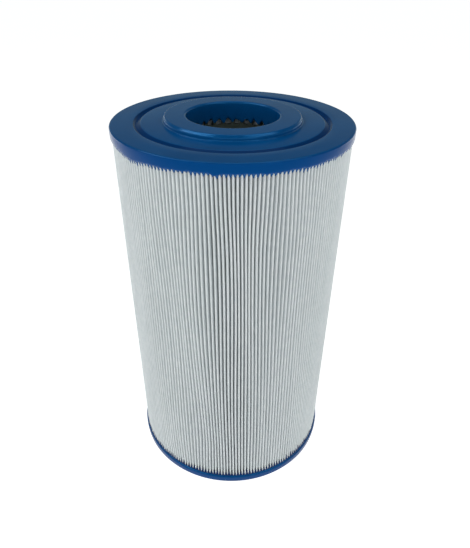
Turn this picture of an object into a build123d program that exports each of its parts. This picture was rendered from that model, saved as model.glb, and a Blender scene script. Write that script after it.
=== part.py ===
from build123d import *
import math
import os

# A pleated filter cartridge for a pool or spa. It stands on its bottom end cap, with the origin at the
# centre of that cap's underside and +Z up the axis. Two cast end caps hold a ring of pleated polyester
# around a perforated core, and nothing else holds the pieces together.

# Driving dimensions, in millimetres
cap_radius = 104.0
overall_height = 363.5
bore_radius = 39.8
collar_radius = 59.3
collar_height = 4.8
rim_band_height = 7.3
foot_band_height = 8.0
cap_edge_fillet = 1.4
lip_fillet = 1.8

groove_inner_radius = 77.7
groove_outer_radius = 83.6
groove_depth = 1.8
groove_floor_width = 1.0
groove_draft = 0.4

pleat_count = 200
crest_radius = 102.6
root_radius = 45.0
sheet_thickness = 0.5
crest_half_width = 0.85
root_half_width = 0.6
seam_angle = 90.0
seam_inner_radius = 62.0

core_inner_radius = 41.0
core_outer_radius = 44.0
window_columns = 30
window_width = 5.6
window_height = 13.0
ring_height = 4.0
top_ring_below_collar = 21.0

potting_depth = 4.0
core_end_margin = 1.0
lining_depth = 17.0
foot_lining_height = 16.0

# Sizes that follow from them
face_height = overall_height - collar_height
rim_underside = face_height - rim_band_height
media_base = potting_depth
media_top = face_height - potting_depth
media_length = media_top - media_base
core_base = media_base + core_end_margin
core_top = media_top - core_end_margin
core_length = core_top - core_base
window_pitch = window_height + ring_height
window_cut_depth = 2 * (core_outer_radius - core_inner_radius)
top_window_centre = overall_height - top_ring_below_collar + window_height / 2
window_rows = math.ceil((top_window_centre - core_base) / window_pitch)


def on_pleat(pleat, radius, across):
    """A point on a pleat: its distance from the axis, and how far it lies to one side of the pleat."""
    angle = math.radians(seam_angle + pleat * 360 / pleat_count)
    return (
        radius * math.cos(angle) - across * math.sin(angle),
        radius * math.sin(angle) + across * math.cos(angle),
    )


def inside_half_width(radius):
    """Half of the gap between the two walls of a pleat, which opens from its root to its crest."""
    share = (radius - root_radius) / (crest_radius - sheet_thickness - root_radius)
    return root_half_width - sheet_thickness + share * (crest_half_width - root_half_width)


def wall_outline(pleat, side):
    """One wall of a pleat from root to crest: two points on its outer face, and two on its inner face."""
    cut_end = pleat in (0, pleat_count)
    inside_top = crest_radius if cut_end else crest_radius - sheet_thickness
    outer = [
        on_pleat(pleat, root_radius + sheet_thickness, side * root_half_width),
        on_pleat(pleat, crest_radius, side * crest_half_width),
    ]
    inner = [
        on_pleat(pleat, root_radius, side * inside_half_width(root_radius)),
        on_pleat(pleat, inside_top, side * inside_half_width(inside_top)),
    ]
    return outer, inner


def sheet_outline():
    """The folded sheet's cross-section: its outer face round to the seam, then its inner face back."""
    outer = []
    inner = []
    for pleat in range(pleat_count + 1):
        if pleat > 0:
            outside, inside = wall_outline(pleat, -1)
            outer += outside
            inner += inside
        if pleat < pleat_count:
            outside, inside = wall_outline(pleat, 1)
            outer += outside[::-1]
            inner += inside[::-1]
    return outer + inner[::-1]


os.makedirs("parts", exist_ok=True)

# The core: a moulded tube with rows of upright windows, cut to length through a row at each end
with BuildPart() as core_tube:
    with BuildSketch(Plane.XY.offset(core_base)):
        Circle(core_outer_radius)
        Circle(core_inner_radius, mode=Mode.SUBTRACT)
    extrude(amount=core_length)
    with Locations([(0, 0, top_window_centre - row * window_pitch) for row in range(window_rows)]):
        with PolarLocations((core_inner_radius + core_outer_radius) / 2, window_columns):
            Box(window_cut_depth, window_width, window_height, mode=Mode.SUBTRACT)

# The filter sheet: one strip of spunbonded polyester in upright pleats, open at the seam
with BuildPart() as pleated_media:
    with BuildSketch(Plane.XY.offset(media_base)):
        with BuildLine():
            Polyline(*sheet_outline(), close=True)
        make_face()
    extrude(amount=media_length)

# The seam: a strip of adhesive between the sheet's two end walls, flush with their cut edges
with BuildPart() as media_seam:
    with BuildSketch(Plane.XY.offset(media_base)):
        with BuildLine():
            Polyline(
                on_pleat(0, seam_inner_radius, -inside_half_width(seam_inner_radius)),
                on_pleat(0, crest_radius, -inside_half_width(crest_radius)),
                on_pleat(0, crest_radius, inside_half_width(crest_radius)),
                on_pleat(0, seam_inner_radius, inside_half_width(seam_inner_radius)),
                close=True,
            )
        make_face()
    extrude(amount=media_length)

# The top end cap: a disc with a collar and a ring groove, cast around the ends of the pleats and the core.
# The groove's inner side is a long slope, and its outer side is steep.
with BuildPart() as top_end_cap:
    with BuildSketch(Plane.XZ):
        with BuildLine():
            Polyline(
                (bore_radius, overall_height - lining_depth),
                (core_outer_radius, overall_height - lining_depth),
                (core_outer_radius, rim_underside),
                (cap_radius, rim_underside),
                (cap_radius, face_height),
                (groove_outer_radius, face_height),
                (groove_outer_radius - groove_draft, face_height - groove_depth),
                (groove_outer_radius - groove_draft - groove_floor_width, face_height - groove_depth),
                (groove_inner_radius, face_height),
                (collar_radius, face_height),
                (collar_radius, overall_height),
                (bore_radius, overall_height),
                close=True,
            )
        make_face()
    revolve(axis=Axis.Z)
    fillet(top_end_cap.edges().group_by(Axis.Z)[-1], lip_fillet)
    face_edges = top_end_cap.edges().filter_by_position(Axis.Z, face_height, face_height)
    fillet(face_edges.sort_by(SortBy.RADIUS)[-1], cap_edge_fillet)
    add(core_tube.part, mode=Mode.SUBTRACT)
    add(pleated_media.part, mode=Mode.SUBTRACT)
    add(media_seam.part, mode=Mode.SUBTRACT)

# The bottom end cap: a plainer disc with the same bore, cast around the lower ends
with BuildPart() as bottom_end_cap:
    with BuildSketch(Plane.XZ):
        with BuildLine():
            Polyline(
                (bore_radius, 0),
                (cap_radius, 0),
                (cap_radius, foot_band_height),
                (core_outer_radius, foot_band_height),
                (core_outer_radius, foot_lining_height),
                (bore_radius, foot_lining_height),
                close=True,
            )
        make_face()
    revolve(axis=Axis.Z)
    fillet(bottom_end_cap.edges().group_by(Axis.Z)[0], cap_edge_fillet)
    add(core_tube.part, mode=Mode.SUBTRACT)
    add(pleated_media.part, mode=Mode.SUBTRACT)
    add(media_seam.part, mode=Mode.SUBTRACT)

core_tube.part.label = "core_tube"
pleated_media.part.label = "pleated_media"
media_seam.part.label = "media_seam"
top_end_cap.part.label = "top_end_cap"
bottom_end_cap.part.label = "bottom_end_cap"

export_step(core_tube.part, "parts/core_tube.step")
export_step(pleated_media.part, "parts/pleated_media.step")
export_step(media_seam.part, "parts/media_seam.step")
export_step(top_end_cap.part, "parts/top_end_cap.step")
export_step(bottom_end_cap.part, "parts/bottom_end_cap.step")
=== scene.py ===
import math

import bpy
import numpy as np
from mathutils import Matrix, Vector


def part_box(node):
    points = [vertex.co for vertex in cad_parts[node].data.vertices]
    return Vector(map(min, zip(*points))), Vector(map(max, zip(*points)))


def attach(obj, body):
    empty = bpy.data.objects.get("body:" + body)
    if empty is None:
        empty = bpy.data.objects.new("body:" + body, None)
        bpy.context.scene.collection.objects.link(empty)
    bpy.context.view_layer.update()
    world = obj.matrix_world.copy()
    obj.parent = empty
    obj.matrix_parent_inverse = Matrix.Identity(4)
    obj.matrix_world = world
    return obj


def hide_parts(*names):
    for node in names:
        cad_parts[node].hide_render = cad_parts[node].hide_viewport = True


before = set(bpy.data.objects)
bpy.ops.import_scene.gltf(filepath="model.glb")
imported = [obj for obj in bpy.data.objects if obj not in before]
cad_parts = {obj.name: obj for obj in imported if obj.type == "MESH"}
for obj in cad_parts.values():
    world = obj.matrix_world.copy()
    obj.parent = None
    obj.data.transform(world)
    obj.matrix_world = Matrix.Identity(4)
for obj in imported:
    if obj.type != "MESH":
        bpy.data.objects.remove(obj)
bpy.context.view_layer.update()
mm = 0.001


# Core tube
# A moulded plastic tube with rows of upright windows between its rings; its dark grey-green is painted
# shade.
# It is cut to length and cast into both end caps, and it keeps the pleats from being pressed into the bore.

def start_material(name):
    """A new material with its node tree and its one Principled node."""
    material = bpy.data.materials.new(name)
    material.use_nodes = True
    return material, material.node_tree, material.node_tree.nodes["Principled BSDF"]


def add_node(tree, kind, links=None, **settings):
    """One node, with its inputs set by name, and linked from other sockets where links says so."""
    node = tree.nodes.new(kind)
    for name, value in settings.items():
        if hasattr(node, name):
            setattr(node, name, value)
        else:
            node.inputs[name.replace("_", " ")].default_value = value
    for name, socket in (links or {}).items():
        tree.links.new(socket, node.inputs[name])
    return node


def part_coordinates(tree, stretch=(1, 1, 1)):
    """Places on the piece in metres, stretched along each axis."""
    places = add_node(tree, "ShaderNodeTexCoord")
    return add_node(
        tree, "ShaderNodeMapping", {"Vector": places.outputs["Object"]}, Scale=stretch
    ).outputs["Vector"]


def noise(tree, where, scale, detail=3.0, roughness=0.55):
    """Soft clouds of light and dark, from 0 to 1."""
    node = add_node(
        tree, "ShaderNodeTexNoise", {"Vector": where}, Scale=scale, Detail=detail, Roughness=roughness
    )
    return node.outputs["Fac"]


def spread(tree, value, low, high, to_low=0.0, to_high=1.0):
    """A value stretched from one range to another, and held at its ends."""
    node = add_node(tree, "ShaderNodeMapRange", {"Value": value})
    node.inputs["From Min"].default_value = low
    node.inputs["From Max"].default_value = high
    node.inputs["To Min"].default_value = to_low
    node.inputs["To Max"].default_value = to_high
    return node.outputs["Result"]


def blend_colours(tree, share, first, second):
    """One colour turning into another as the share goes from 0 to 1. Each is a colour or a socket."""
    node = add_node(tree, "ShaderNodeMix", data_type="RGBA")
    tree.links.new(share, node.inputs["Factor"])
    for socket, colour in ((node.inputs[6], first), (node.inputs[7], second)):
        if isinstance(colour, tuple):
            socket.default_value = (*colour, 1.0)
        else:
            tree.links.new(colour, socket)
    return node.outputs[2]


def combine(tree, operation, first, second):
    """Two values put together by one sum."""
    node = add_node(tree, "ShaderNodeMath", operation=operation)
    for socket, value in zip(node.inputs, (first, second)):
        if isinstance(value, (int, float)):
            socket.default_value = value
        else:
            tree.links.new(value, socket)
    return node.outputs["Value"]


def bump(tree, height, distance, strength=1.0, under=None):
    """A surface raised by a height from 0 to 1, over another bump if there is one."""
    links = {"Height": height}
    if under:
        links["Normal"] = under
    return add_node(
        tree, "ShaderNodeBump", links, Strength=strength, Distance=distance
    ).outputs["Normal"]


def core_plastic():
    """Moulded plastic with a fine dull grain, darker in slow clouds, in a dark green that is painted shade.
    """
    material, tree, shader = start_material("core_plastic")
    where = part_coordinates(tree)
    clouds = noise(tree, where, 40.0)
    grain = noise(tree, where, 900.0, detail=4.0)
    # Both greens are painted shade: the core is coloured dark to stand for the shade deep in the bore.
    painted_shade_green = (0.075, 0.095, 0.075)
    darker_painted_shade_green = (0.04, 0.052, 0.045)
    colour = blend_colours(tree, spread(tree, clouds, 0.35, 0.7), painted_shade_green, darker_painted_shade_green)
    tree.links.new(colour, shader.inputs["Base Color"])
    tree.links.new(spread(tree, grain, 0.3, 0.7, 0.42, 0.6), shader.inputs["Roughness"])
    tree.links.new(bump(tree, grain, 0.06 * mm), shader.inputs["Normal"])
    return material


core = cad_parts["core_tube"]
core.data.materials.clear()
core.data.materials.append(core_plastic())


# Pleated sheet
# One strip of white spunbonded polyester, half a millimetre thick, folded into deep upright pleats and
# stood in a ring round the core. The pleats lean, bunch and wander a little between the two castings.

pleats = 200
sheet_thickness = 0.5 * mm
sheet_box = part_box("pleated_media")
sheet_base = sheet_box[0].z
sheet_top = sheet_box[1].z
crest_radius = sheet_box[1].x
root_radius = 45.0 * mm
crest_half_width = 0.85 * mm
root_gap = 0.23 * mm
inside_root_gap = 0.2 * mm
bow_radius = 96.0 * mm
bow_half_gap = 0.09 * mm
seam_direction = math.radians(90)
twist = math.radians(3.0)
sheet_rows = 27
chance = np.random.default_rng(14)

row_height = np.linspace(sheet_base, sheet_top, sheet_rows)
height_share = np.linspace(0, 1, sheet_rows)
pleat_number = np.arange(pleats)


def wander(most_round, most_up, waves=9):
    """A smooth random field over the ring of pleats and their height, mostly from -1 to 1."""
    field = np.zeros((pleats, sheet_rows))
    for _ in range(waves):
        turns = chance.integers(1, most_round + 1)
        climbs = chance.uniform(-most_up, most_up)
        phase = chance.uniform(0, 2 * math.pi)
        angle = 2 * math.pi * (turns * pleat_number[:, None] / pleats + climbs * height_share[None, :])
        field += np.sin(angle + phase)
    return field / math.sqrt(waves)


# The castings hold the sheet's ends, so its pleats sway more between them
held = np.clip(np.minimum(height_share, 1 - height_share) * 6, 0.25, 1)
crest_sway = (wander(14, 1.3) * 0.9 * mm + wander(70, 2.2, 14) * 0.20 * mm) * held
root_sway = (wander(10, 1.0) * 0.15 * mm) * held
crest_dip = np.clip(wander(60, 1.5, 12) * 0.12 + 0.2, 0, 0.5) * mm
crest_width = crest_half_width * (1 + 0.07 * wander(90, 1.2, 12))

pleat_direction = seam_direction + 2 * math.pi * pleat_number[:, None] / pleats
pleat_direction = pleat_direction + twist * (0.5 - height_share[None, :])
crest_direction = pleat_direction + crest_sway / crest_radius
root_direction = pleat_direction + math.pi / pleats + (crest_sway * 0.35 + root_sway) / crest_radius


def place(direction, radius, across=0.0):
    """Points in the row frame for a direction round the axis, a radius, and a step to one side of it."""
    x = radius * np.cos(direction) - across * np.sin(direction)
    y = radius * np.sin(direction) + across * np.cos(direction)
    height = np.broadcast_to(row_height, np.broadcast(x, row_height).shape)
    return np.stack([np.broadcast_to(x, height.shape), np.broadcast_to(y, height.shape), height], axis=-1)


def crest_points(pleat, sides):
    """The outside of one fold, from one wall over its round crest to the other."""
    width = crest_width[pleat]
    top = crest_radius - crest_dip[pleat]
    shoulder_drop = 1.4
    points = []
    for turn in sides:
        angle = math.radians(turn)
        drop = shoulder_drop if abs(turn) == 90 else 1 - math.cos(angle)
        points.append(place(crest_direction[pleat], top - width * drop, width * math.sin(angle)))
    return points


def wall_lines(valley, side):
    """A wall beside a valley, from root to bow: its upright lines on the outer and on the inner face."""
    root = root_direction[valley]
    here = crest_direction[valley]
    there = crest_direction[valley + 1] if valley + 1 < pleats else crest_direction[0] + 2 * math.pi
    bow = 0.35 * (here + there) + 0.3 * root
    inside_root = math.pi * root_radius / pleats - inside_root_gap / 2
    outside = [
        place(root, root_radius + sheet_thickness, side * root_gap / 2),
        place(bow, bow_radius, side * bow_half_gap),
    ]
    inside = [
        place(root, root_radius, side * inside_root),
        place(bow, bow_radius, side * (bow_half_gap + sheet_thickness)),
    ]
    return outside, inside


def crest_lines(step):
    """A fold's lines on the outer face and on the inner face. The sheet's two ends have half a fold each."""
    pleat = step % pleats
    direction = crest_direction[pleat]
    width = crest_width[pleat]
    fold = crest_radius - crest_dip[pleat]
    inside = width - sheet_thickness
    if step == 0:
        return [place(direction, fold, width), place(direction, fold - width, width)], [
            place(direction, fold, inside)
        ]
    if step == pleats:
        return [place(direction, fold - width, -width), place(direction, fold, -width)], [
            place(direction, fold, -inside)
        ]
    outside = crest_points(pleat, (-90, -58, -30, 0, 30, 58, 90))
    return outside, [place(direction, fold - sheet_thickness, side * inside) for side in (-1, 1)]


def sheet_sections():
    """All the lines of the outer face, all those of the inner face, and the rungs that join the two."""
    outer, inner, rungs = [], [], []

    def add_wall(outside, inside):
        """A wall's lines, each on the outer face with its match on the inner face and a rung between."""
        for outer_line, inner_line in zip(outside, inside):
            rungs.append((len(outer), len(inner)))
            outer.append(outer_line)
            inner.append(inner_line)

    for step in range(pleats + 1):
        if step > 0:
            add_wall(*wall_lines(step - 1, 1))
        outside, inside = crest_lines(step)
        rungs.append((len(outer), len(inner)))
        outer.extend(outside)
        inner.extend(inside)
        rungs.append((len(outer) - 1, len(inner) - 1))
        if step < pleats:
            outside, inside = wall_lines(step, -1)
            add_wall(outside[::-1], inside[::-1])
    return outer, inner, rungs


outer_lines, inner_lines, rungs = sheet_sections()


def mesh_piece(name, points, faces, material, sharp_degrees=40):
    """A new piece from points and faces, smooth but for its sharp edges."""
    mesh = bpy.data.meshes.new(name)
    mesh.from_pydata(points, [], faces)
    mesh.update()
    mesh.polygons.foreach_set("use_smooth", [True] * len(mesh.polygons))
    mesh.set_sharp_from_angle(angle=math.radians(sharp_degrees))
    mesh.materials.append(material)
    piece = bpy.data.objects.new(name, mesh)
    bpy.context.scene.collection.objects.link(piece)
    return piece


def spunbond():
    """White polyester fibres laid at random and pressed flat, with the casting resin drawn into the ends."""
    material, tree, shader = start_material("spunbonded_polyester")
    where = part_coordinates(tree)
    upright = part_coordinates(tree, (1.0, 1.0, 0.12))
    fibres = noise(tree, where, 1400.0, detail=6.0, roughness=0.7)
    clumps = noise(tree, where, 160.0, detail=4.0)
    streaks = noise(tree, upright, 130.0)
    thin_white = (0.668, 0.712, 0.735)
    thick_white = (0.738, 0.772, 0.788)
    grey_streak = (0.60, 0.65, 0.655)
    soak_and_valley_shade_blue = (0.020, 0.130, 0.330)
    white = blend_colours(tree, spread(tree, clumps, 0.35, 0.68), thin_white, thick_white)
    white = blend_colours(tree, spread(tree, streaks, 0.52, 0.72, 0.0, 0.35), white, grey_streak)
    height = add_node(tree, "ShaderNodeSeparateXYZ", {"Vector": where}).outputs["Z"]
    ragged = combine(tree, "SUBTRACT", noise(tree, where, 380.0), 0.5)
    height = combine(tree, "ADD", height, combine(tree, "MULTIPLY", ragged, 3.0 * mm))
    at_foot = spread(tree, height, sheet_base + 6.4 * mm, sheet_base + 5.0 * mm)
    at_top = spread(tree, height, sheet_top - 5.4 * mm, sheet_top - 4.2 * mm)
    # In the sheet this mask is only the resin drawn into its ends, a real stain.
    soak_and_valley_shade = combine(tree, "MULTIPLY", combine(tree, "ADD", at_foot, at_top), 0.6)
    drops = add_node(tree, "ShaderNodeTexVoronoi", {"Vector": where}, Scale=230.0, Randomness=1.0)
    small_drops = spread(tree, drops.outputs["Distance"], 0.10, 0.17, 1.0, 0.0)
    near_top = spread(tree, height, sheet_top - 16.0 * mm, sheet_top - 8.0 * mm)
    in_patches = spread(tree, noise(tree, where, 24.0), 0.60, 0.66)
    splashed = combine(tree, "MULTIPLY", combine(tree, "MULTIPLY", small_drops, near_top), in_patches)
    stained = combine(tree, "MAXIMUM", soak_and_valley_shade, splashed)
    tree.links.new(blend_colours(tree, stained, white, soak_and_valley_shade_blue), shader.inputs["Base Color"])
    shader.inputs["Roughness"].default_value = 0.85
    shader.inputs["Subsurface Weight"].default_value = 0.5
    shader.inputs["Subsurface Radius"].default_value = (1.0, 1.0, 1.0)
    shader.inputs["Subsurface Scale"].default_value = 2.5 * mm
    shader.inputs["Specular IOR Level"].default_value = 0.2
    shader.inputs["Sheen Weight"].default_value = 0.1
    shader.inputs["Sheen Roughness"].default_value = 0.5
    raised = bump(tree, clumps, 0.1 * mm)
    tree.links.new(bump(tree, fibres, 0.06 * mm, under=raised), shader.inputs["Normal"])
    return material


def sheet_mesh():
    """The sheet as one closed skin: both faces, the two cut ends, and the edges at top and bottom."""
    lines = outer_lines + inner_lines[::-1]
    faces = []
    for line in range(len(lines)):
        here = line * sheet_rows
        beside = (line + 1) % len(lines) * sheet_rows
        for row in range(sheet_rows - 1):
            faces.append((here + row, beside + row, beside + row + 1, here + row + 1))
    for first, last in zip(rungs[:-1], rungs[1:]):
        around_edge = list(range(first[0], last[0] + 1))
        around_edge += [len(lines) - 1 - line for line in range(last[1], first[1] - 1, -1)]
        faces.append(tuple(line * sheet_rows for line in around_edge[::-1]))
        faces.append(tuple(line * sheet_rows + sheet_rows - 1 for line in around_edge))
    return np.concatenate(lines).tolist(), faces


sheet = mesh_piece("pleated_sheet", *sheet_mesh(), spunbond())
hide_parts("pleated_media")
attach(sheet, "root")


# Side seam
# The strip's two cut ends are glued face to face inside one pleat. The hot adhesive fills the pleat's mouth
# and stands a little proud of the cut edges.

seam_inner_radius = 62.0 * mm


def seam_lines():
    """The bead's upright lines: its mouth, down one end wall of the sheet, and back up the other."""
    first_crest, first_bow, first_root = inner_lines[0], inner_lines[1], inner_lines[2]
    last_root, last_bow, last_crest = inner_lines[-3], inner_lines[-2], inner_lines[-1]
    depth = (bow_radius - seam_inner_radius) / (bow_radius - root_radius)
    first_deep = first_bow + (first_root - first_bow) * depth
    last_deep = last_bow + (last_root - last_bow) * depth
    mouth = (first_crest + last_crest) / 2
    lumps = np.sin(height_share * 47) * np.sin(height_share * 19)
    stretch = 1 + (0.35 + 0.2 * lumps) * mm / crest_radius
    mouth[:, 0] *= stretch
    mouth[:, 1] *= stretch
    return [mouth, first_crest, first_bow, first_deep, last_deep, last_bow, last_crest]


def adhesive():
    """Set hot-melt: cream, a little glossy, with slow lumps in it."""
    material, tree, shader = start_material("hot_melt")
    where = part_coordinates(tree)
    lumps = noise(tree, where, 220.0)
    cream = (0.70, 0.66, 0.52)
    pale_cream = (0.80, 0.77, 0.66)
    colour = blend_colours(tree, spread(tree, lumps, 0.35, 0.7), cream, pale_cream)
    tree.links.new(colour, shader.inputs["Base Color"])
    tree.links.new(spread(tree, lumps, 0.3, 0.7, 0.30, 0.5), shader.inputs["Roughness"])
    tree.links.new(bump(tree, lumps, 0.2 * mm), shader.inputs["Normal"])
    return material


def seam_mesh():
    """The bead as one closed skin, with a flat face at its foot and at its top."""
    lines = seam_lines()
    faces = []
    for line in range(len(lines)):
        here = line * sheet_rows
        beside = (line + 1) % len(lines) * sheet_rows
        for row in range(sheet_rows - 1):
            faces.append((here + row, here + row + 1, beside + row + 1, beside + row))
    faces.append(tuple(line * sheet_rows for line in range(len(lines))))
    faces.append(tuple(line * sheet_rows + sheet_rows - 1 for line in range(len(lines)))[::-1])
    return np.concatenate(lines).tolist(), faces


seam = mesh_piece("seam_bead", *seam_mesh(), adhesive())
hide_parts("media_seam")
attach(seam, "root")


# Bottom end cap
# A disc of blue polyurethane, poured into an open mould around the lower ends of the pleats and the core.
# Before it set, the resin climbed each valley between two pleats and left a point there, darkened with
# painted shade.

cap_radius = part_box("bottom_end_cap")[1].x
foot_lining_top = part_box("bottom_end_cap")[1].z
overall_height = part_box("top_end_cap")[1].z
face_height = overall_height - 4.8 * mm
rim_underside = face_height - 7.3 * mm
foot_height = 8.0 * mm
bore_radius = 39.8 * mm
core_inside = 41.0 * mm
core_middle = 42.6 * mm
beside_core = 44.3 * mm
cap_edge_fillet = 1.4 * mm
cap_face_edge = 102.0 * mm
groove_inner_lip = 77.2 * mm
groove_outer_lip = 84.6 * mm
columns_per_pleat = 8
columns = pleats * columns_per_pleat
column_phase = np.arange(columns) / columns_per_pleat


def column_directions(row):
    """Directions of the castings' columns, so that one in every eight stands on a crest of the sheet."""
    crests = crest_direction[:, row]
    ring = np.append(crests, crests[0] + 2 * math.pi)
    return np.interp(column_phase, np.arange(pleats + 1), ring)


def around(fewest, most, waves):
    """A random wave round the ring, mostly from -1 to 1."""
    total = np.zeros(columns)
    angle = 2 * math.pi * np.arange(columns) / columns
    for _ in range(waves):
        total += np.sin(chance.integers(fewest, most + 1) * angle + chance.uniform(0, 2 * math.pi))
    return total / math.sqrt(waves)


def points_of_resin(heights):
    """One pointed tooth in each valley, as high as it is told, that falls away round the folds beside it."""
    from_valley = np.abs(column_phase % 1.0 - 0.5)
    tooth = (1 - 2 * from_valley) ** 0.85
    return tooth * np.repeat(heights, columns_per_pleat)


def fillet(centre_radius, centre_height, size, first, last, steps):
    """Points on a rounded edge, from one angle to another above the outward direction."""
    angles = np.radians(np.linspace(first, last, steps))
    return [(centre_radius + size * math.cos(a), centre_height + size * math.sin(a)) for a in angles]


def cast_ring(name, directions, outline, material):
    """A closed ring from its outline. Each point's radius and height may change from column to column."""
    lines = []
    for radius, height in outline:
        radius = np.broadcast_to(radius, columns)
        height = np.broadcast_to(height, columns)
        lines.append(np.stack([radius * np.cos(directions), radius * np.sin(directions), height], axis=-1))
    faces = []
    for line in range(len(lines)):
        after = (line + 1) % len(lines)
        for column in range(columns):
            beside = (column + 1) % columns
            faces.append(
                (line * columns + column, line * columns + beside,
                 after * columns + beside, after * columns + column)
            )
    return mesh_piece(name, np.concatenate(lines).tolist(), faces, material, sharp_degrees=60)


def cast_polyurethane():
    """Blue resin with the faint peel of its mould and small pits. Its colour is darkened with painted shade
    on the outer band, in the groove and among the pleats, where it is also duller, and its rounded edges
    shine most."""
    material, tree, shader = start_material("cast_polyurethane")
    deep_blue = (0.001, 0.070, 0.236)
    clear_blue = (0.0015, 0.084, 0.274)
    pale_blue = (0.003, 0.108, 0.330)
    # Painted shade: the outer band's deeper blue darkens the side of the rim.
    band_painted_shade_blue = (0.0008, 0.049, 0.195)
    # Painted shade: the groove's darker blue stands for the shade inside the groove.
    groove_painted_shade_blue = (0.001, 0.034, 0.140)
    # Painted shade: the darkest blue stands for the shade on the resin points among the pleats.
    soak_and_valley_shade_blue = (0.0006, 0.013, 0.085)

    where = part_coordinates(tree)
    clouds = noise(tree, where, 14.0, detail=4.0)
    grain = noise(tree, where, 700.0, detail=4.0, roughness=0.65)
    swirls = noise(tree, where, 60.0)
    height = add_node(tree, "ShaderNodeSeparateXYZ", {"Vector": where}).outputs["Z"]
    flattened = part_coordinates(tree, (1.0, 1.0, 0.0))
    from_axis = add_node(tree, "ShaderNodeVectorMath", {"Vector": flattened}, operation="LENGTH")
    from_axis = from_axis.outputs["Value"]

    # Masks for the painted shade on the outer band, in the groove and on the resin among the pleats.
    on_band = spread(tree, from_axis, cap_radius - 0.9 * mm, cap_radius - 0.2 * mm)
    in_groove = combine(
        tree,
        "MULTIPLY",
        spread(tree, from_axis, groove_inner_lip + 0.8 * mm, groove_inner_lip + 1.3 * mm),
        spread(tree, from_axis, groove_outer_lip - 0.2 * mm, groove_outer_lip - 0.6 * mm),
    )
    near_face = spread(tree, height, face_height - 3.0 * mm, face_height - 2.0 * mm)
    in_groove = combine(tree, "MULTIPLY", in_groove, near_face)
    above_foot = spread(tree, height, foot_height - 0.1 * mm, foot_height + 0.9 * mm)
    below_rim = spread(tree, height, rim_underside - 0.6 * mm, rim_underside - 1.8 * mm)
    fainter_above = spread(tree, height, 100 * mm, 300 * mm, 1.0, 0.35)
    among_pleats = spread(tree, from_axis, crest_radius + 0.8 * mm, crest_radius + 0.3 * mm)
    clear_of_core = spread(tree, from_axis, 60.0 * mm, 70.0 * mm)
    # Among the pleats the resin is darkened as painted shade, fully low down and fainter on the top casting.
    soak_and_valley_shade = combine(tree, "MULTIPLY", above_foot, below_rim)
    soak_and_valley_shade = combine(tree, "MULTIPLY", soak_and_valley_shade, fainter_above)
    soak_and_valley_shade = combine(tree, "MULTIPLY", soak_and_valley_shade, combine(tree, "MULTIPLY", among_pleats, clear_of_core))

    blue = blend_colours(tree, spread(tree, clouds, 0.35, 0.68), deep_blue, clear_blue)
    blue = blend_colours(tree, spread(tree, grain, 0.60, 0.80, 0.0, 0.25), blue, pale_blue)
    blue = blend_colours(tree, on_band, blue, band_painted_shade_blue)
    blue = blend_colours(tree, in_groove, blue, groove_painted_shade_blue)
    blue = blend_colours(tree, soak_and_valley_shade, blue, soak_and_valley_shade_blue)
    tree.links.new(blue, shader.inputs["Base Color"])
    tree.links.new(spread(tree, swirls, 0.3, 0.7, 0.12, 0.20), shader.inputs["Roughness"])

    facing = add_node(tree, "ShaderNodeNewGeometry").outputs["Normal"]
    upward = add_node(tree, "ShaderNodeSeparateXYZ", {"Vector": facing}).outputs["Z"]
    rounded = combine(
        tree, "MULTIPLY", spread(tree, upward, 0.05, 0.25), spread(tree, upward, 0.97, 0.85)
    )
    shine = spread(tree, rounded, 0.0, 1.0, 0.36, 1.0)
    for share, left_over in ((on_band, 0.35), (in_groove, 0.1), (soak_and_valley_shade, 0.25)):
        shine = combine(tree, "MULTIPLY", shine, spread(tree, share, 0.0, 1.0, 1.0, left_over))
    tree.links.new(shine, shader.inputs["Specular IOR Level"])
    shader.inputs["Specular Tint"].default_value = (0.09, 0.46, 1.0, 1.0)

    pits = add_node(tree, "ShaderNodeTexVoronoi", {"Vector": where}, Scale=260.0, Randomness=1.0)
    pit_share = spread(tree, pits.outputs["Distance"], 0.04, 0.16, 1.0, 0.0)
    surface = combine(tree, "SUBTRACT", grain, combine(tree, "MULTIPLY", pit_share, 0.2))
    waves = bump(tree, swirls, 0.05 * mm)
    tree.links.new(bump(tree, surface, 0.03 * mm, under=waves), shader.inputs["Normal"])
    return material


blue_casting = cast_polyurethane()
foot_directions = column_directions(0)
foot_teeth = chance.uniform(3.0, 6.2, pleats) * mm
foot_teeth = foot_teeth + (chance.random(pleats) < 0.12) * 2.5 * mm
tall_tooth = 8.0 * mm
for tall_direction in (249.5, 279.0, 306.0, 309.5):
    closest = np.argmax(np.cos(crest_direction[:, 0] - math.radians(tall_direction)))
    foot_teeth[closest] = tall_tooth
foot_points = points_of_resin(foot_teeth)
foot_edge = foot_height + (0.15 * around(20, 60, 8) - 0.1) * mm
foot_meniscus = 0.5 * mm * (1 + 0.4 * around(60, 160, 8))
foot_lining = foot_lining_top - np.clip(0.9 + 0.6 * around(8, 40, 10), 0.1, 2.4) * mm

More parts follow.
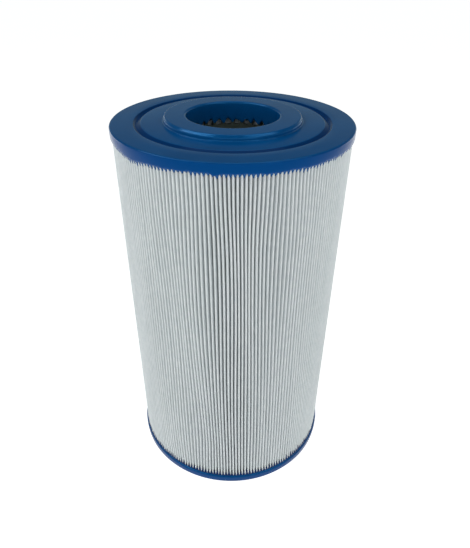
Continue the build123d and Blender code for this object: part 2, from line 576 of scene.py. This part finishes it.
# From the lining's edge down the bore, out over the underside, up the band, and in among the pleats
foot_outline = [
    (core_middle, foot_lining - 0.4 * mm),
    (core_inside, foot_lining),
    (bore_radius + 0.5 * mm, foot_lining - 0.15 * mm),
    (bore_radius + 0.1 * mm, foot_lining - 0.9 * mm),
    (bore_radius, foot_lining - 2.2 * mm),
    (bore_radius, cap_edge_fillet + 4.6 * mm),
    *fillet(bore_radius + cap_edge_fillet, cap_edge_fillet, cap_edge_fillet, 180, 270, 5),
    (50.0 * mm, 0.0),
    (62.0 * mm, 0.0),
    (76.0 * mm, 0.0),
    (90.0 * mm, 0.0),
    *fillet(cap_radius - cap_edge_fillet, cap_edge_fillet, cap_edge_fillet, -90, 0, 6),
    (cap_radius, cap_edge_fillet + 2.2 * mm),
    (cap_radius, foot_height - 2.2 * mm),
    (cap_radius - 0.06 * mm, foot_edge - 0.8 * mm),
    (cap_radius - 0.35 * mm, foot_edge - 0.25 * mm),
    (cap_radius - 0.8 * mm, foot_edge),
    (crest_radius + 0.35 * mm, foot_edge + 0.1 * mm),
    (crest_radius + 0.15 * mm, foot_edge + foot_meniscus * 0.5 + foot_points * 0.35),
    (crest_radius, foot_edge + foot_meniscus * 0.8 + foot_points * 0.75),
    (crest_radius - 0.3 * mm, foot_edge + foot_meniscus + foot_points * 0.96),
    (crest_radius - 1.2 * mm, foot_edge + foot_meniscus + foot_points),
    (crest_radius - 4.0 * mm, foot_edge + foot_meniscus + foot_points * 0.75),
    (crest_radius - 12.0 * mm, foot_height + foot_points * 0.3),
    (75.0 * mm, foot_height),
    (55.0 * mm, foot_height),
    (beside_core, foot_height),
    (core_middle, foot_height + 1.0 * mm),
]
foot_cap = cast_ring("foot_casting", foot_directions, foot_outline, blue_casting)
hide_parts("bottom_end_cap")
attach(foot_cap, "root")


# Top end cap
# The second casting, poured the same way with the cartridge turned over. Its mould gives it a ring groove
# and a raised collar with a stepped edge, and a lining that runs down the inside of the core.

groove_floor = face_height - 1.8 * mm
groove_floor_middle = 82.1 * mm
collar_radius = 59.3 * mm
lip_fillet = 1.8 * mm
collar_step_radius = 58.32 * mm
window_columns = 30
top_directions = column_directions(-1)


def near(directions, middle, half_width):
    """1 at one direction in degrees, and falling smoothly to 0 at a half width to either side of it."""
    away = (np.degrees(directions) - middle + 180) % 360 - 180
    return np.clip(1 - (away / half_width) ** 2, 0, 1) ** 2


top_teeth = chance.uniform(1.8, 3.8, pleats) * mm
top_teeth = top_teeth + (chance.random(pleats) < 0.12) * 1.2 * mm
top_points = points_of_resin(top_teeth)

# Resin ran down a little below the rim, and further at two places
sag = 1.2 + 0.35 * around(5, 24, 10) + 0.22 * around(40, 120, 10)
sag = sag + 1.6 * near(top_directions, 222, 22) + 1.5 * near(top_directions, 263, 2.5)
rim_edge = rim_underside - np.clip(sag, 0.3, 4.0) * mm

# The lining's ragged edge rises over each window of the core and hangs lower over the bars between them.
# Behind it, resin fills the upper part of each window.
lining_edge = overall_height - 17.3 * mm + (0.45 * around(6, 20, 8) + 0.45 * around(24, 70, 10)) * mm
lining_edge = lining_edge + 2.0 * mm * np.cos(window_columns * top_directions)
plug_foot = overall_height - 16.2 * mm + 0.3 * mm * around(20, 60, 8)
lining_inside = bore_radius + 0.5 * mm + 0.35 * mm * around(20, 60, 8)

# Round the lining's edge, up the bore, out over the collar, the groove and the rim, down the band, and in
# among the pleats
top_outline = [
    (core_middle + 0.8 * mm, rim_underside),
    (core_middle, plug_foot),
    (core_middle - 0.3 * mm, lining_edge + 0.7 * mm),
    (core_inside + 0.3 * mm, lining_edge),
    (lining_inside, lining_edge + 0.1 * mm),
    (bore_radius + 0.15 * mm, lining_edge + 0.9 * mm),
    (bore_radius, lining_edge + 2.4 * mm),
    (bore_radius, overall_height - lip_fillet - 3.7 * mm),
    *fillet(bore_radius + lip_fillet, overall_height - lip_fillet, lip_fillet, 180, 90, 6),
    (bore_radius + lip_fillet + 0.6 * mm, overall_height),
    (collar_radius - 2.4 * mm, overall_height),
    *fillet(collar_radius - 2.1 * mm, overall_height - 1.0 * mm, 1.0 * mm, 90, 25, 5),
    (collar_step_radius, overall_height - 0.95 * mm),
    *fillet(collar_radius - 2.4 * mm, overall_height - 2.9 * mm, 2.4 * mm, 50, 0, 6),
    (collar_radius, face_height + 1.1 * mm),
    (collar_radius + 0.05 * mm, face_height + 0.4 * mm),
    (collar_radius + 0.3 * mm, face_height + 0.08 * mm),
    (collar_radius + 1.1 * mm, face_height),
    (collar_radius + 1.6 * mm, face_height),
    (groove_inner_lip, face_height),
    (groove_inner_lip + 0.4 * mm, face_height - 0.02 * mm),
    (groove_inner_lip + 0.9 * mm, face_height - 0.14 * mm),
    (groove_inner_lip + 1.5 * mm, face_height - 0.42 * mm),
    (groove_floor_middle - 0.8 * mm, groove_floor + 0.14 * mm),
    (groove_floor_middle - 0.3 * mm, groove_floor),
    (groove_floor_middle + 0.3 * mm, groove_floor),
    (groove_floor_middle + 0.7 * mm, groove_floor + 0.15 * mm),
    (groove_outer_lip - 0.7 * mm, face_height - 0.25 * mm),
    (groove_outer_lip - 0.4 * mm, face_height - 0.04 * mm),
    (groove_outer_lip, face_height),
    (cap_face_edge - 10.0 * mm, face_height),
    (cap_face_edge, face_height),
    *fillet(cap_radius - cap_edge_fillet, face_height - cap_edge_fillet, cap_edge_fillet, 90, 0, 6),
    (cap_radius, rim_underside + 3.2 * mm),
    (cap_radius - 0.03 * mm, rim_edge + 1.4 * mm),
    (cap_radius - 0.3 * mm, rim_edge + 0.4 * mm),
    (cap_radius - 0.8 * mm, rim_edge),
    (crest_radius + 0.35 * mm, rim_edge - top_points * 0.1),
    (crest_radius - 0.1 * mm, rim_edge - top_points * 0.6),
    (crest_radius - 0.8 * mm, rim_edge - top_points),
    (crest_radius - 3.5 * mm, rim_edge - top_points * 0.7),
    (crest_radius - 12.0 * mm, rim_underside),
    (beside_core, rim_underside),
]
top_cap = cast_ring("collar_casting", top_directions, top_outline[::-1], blue_casting)
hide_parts("top_end_cap")
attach(top_cap, "root")


# Stage
# A pale floor that runs out of sight, three large soft boxes to the left, to the right and in front, two
# small ones behind, one overhead, and a faint haze that the blue castings mirror.

def floor_paint():
    """Dull white paint, slightly uneven, that glows so that it stays white out to its edges."""
    material, tree, shader = start_material("floor_paint")
    where = part_coordinates(tree)
    clouds = noise(tree, where, 6.0)
    colour = blend_colours(tree, spread(tree, clouds, 0.3, 0.7), (0.54, 0.54, 0.54), (0.56, 0.56, 0.56))
    tree.links.new(colour, shader.inputs["Base Color"])
    shader.inputs["Roughness"].default_value = 0.7
    shader.inputs["Emission Color"].default_value = (1.0, 1.0, 1.0, 1.0)
    shader.inputs["Emission Strength"].default_value = 0.93
    return material


floor_half = 14.0
floor_corners = [
    (-floor_half, -floor_half, 0),
    (floor_half, -floor_half, 0),
    (floor_half, floor_half, 0),
    (-floor_half, floor_half, 0),
]
floor = mesh_piece("floor", floor_corners, [(0, 1, 2, 3)], floor_paint())


def soft_box(name, place_at, width, height, watts):
    """A rectangular light that points at the middle of the cartridge."""
    lamp = bpy.data.lights.new(name, "AREA")
    lamp.shape = "RECTANGLE"
    lamp.size = width
    lamp.size_y = height
    lamp.energy = watts
    light = bpy.data.objects.new(name, lamp)
    light.location = place_at
    light.rotation_mode = "QUATERNION"
    light.rotation_quaternion = (cartridge_middle - Vector(place_at)).to_track_quat("-Z", "Y")
    bpy.context.scene.collection.objects.link(light)


cartridge_middle = Vector((0, 0, 0.2))
soft_box("left_soft_box", (-0.80, -0.25, 1.15), width=1.1, height=0.5, watts=5.0)
soft_box("right_soft_box", (0.69, -0.48, 1.15), width=0.9, height=0.5, watts=2.3)
soft_box("front_soft_box", (0.12, -1.5, 0.55), width=2.2, height=1.0, watts=5.5)
soft_box("left_back_soft_box", (-1.0, 0.75, 0.25), width=0.8, height=0.4, watts=0.7)
soft_box("right_back_soft_box", (1.0, 0.75, 0.25), width=0.8, height=0.4, watts=0.7)
soft_box("top_soft_box", (0.0, 0.30, 1.60), width=1.0, height=1.0, watts=2.6)

world = bpy.data.worlds.new("studio")
bpy.context.scene.world = world
world.use_nodes = True
sky = world.node_tree
heading = add_node(sky, "ShaderNodeTexCoord")
upward = add_node(sky, "ShaderNodeSeparateXYZ", {"Vector": heading.outputs["Generated"]})
steps = add_node(sky, "ShaderNodeValToRGB", {"Fac": upward.outputs["Z"]})
haze_red = 0.76
haze_blue = 0.95
haze = ((0.0, 0.42), (0.14, 0.36), (0.25, 0.24), (0.34, 0.08), (0.55, 0.10), (1.0, 0.14))
while len(steps.color_ramp.elements) < len(haze):
    steps.color_ramp.elements.new(0.5)
for stop, (position, level) in zip(steps.color_ramp.elements, haze):
    stop.position = position
    stop.color = (level * haze_red, level, level * haze_blue, 1.0)
sky.links.new(steps.outputs["Color"], sky.nodes["Background"].inputs["Color"])
bpy.context.scene.view_settings.view_transform = "Standard"

camera_data = bpy.data.cameras.new("camera")
camera_data.lens = 32.3
camera_data.sensor_width = 36.0
camera = bpy.data.objects.new("camera", camera_data)
camera_place = (0, -0.4236, 0.4801)
tilt_down = math.radians(33.46)
lean = math.radians(0.53)
turn = math.radians(-0.42)
camera.matrix_world = (
    Matrix.Translation(camera_place)
    @ Matrix.Rotation(turn, 4, "Z")
    @ Matrix.Rotation(math.radians(90) - tilt_down, 4, "X")
    @ Matrix.Rotation(lean, 4, "Z")
)
bpy.context.scene.collection.objects.link(camera)
bpy.context.scene.camera = camera
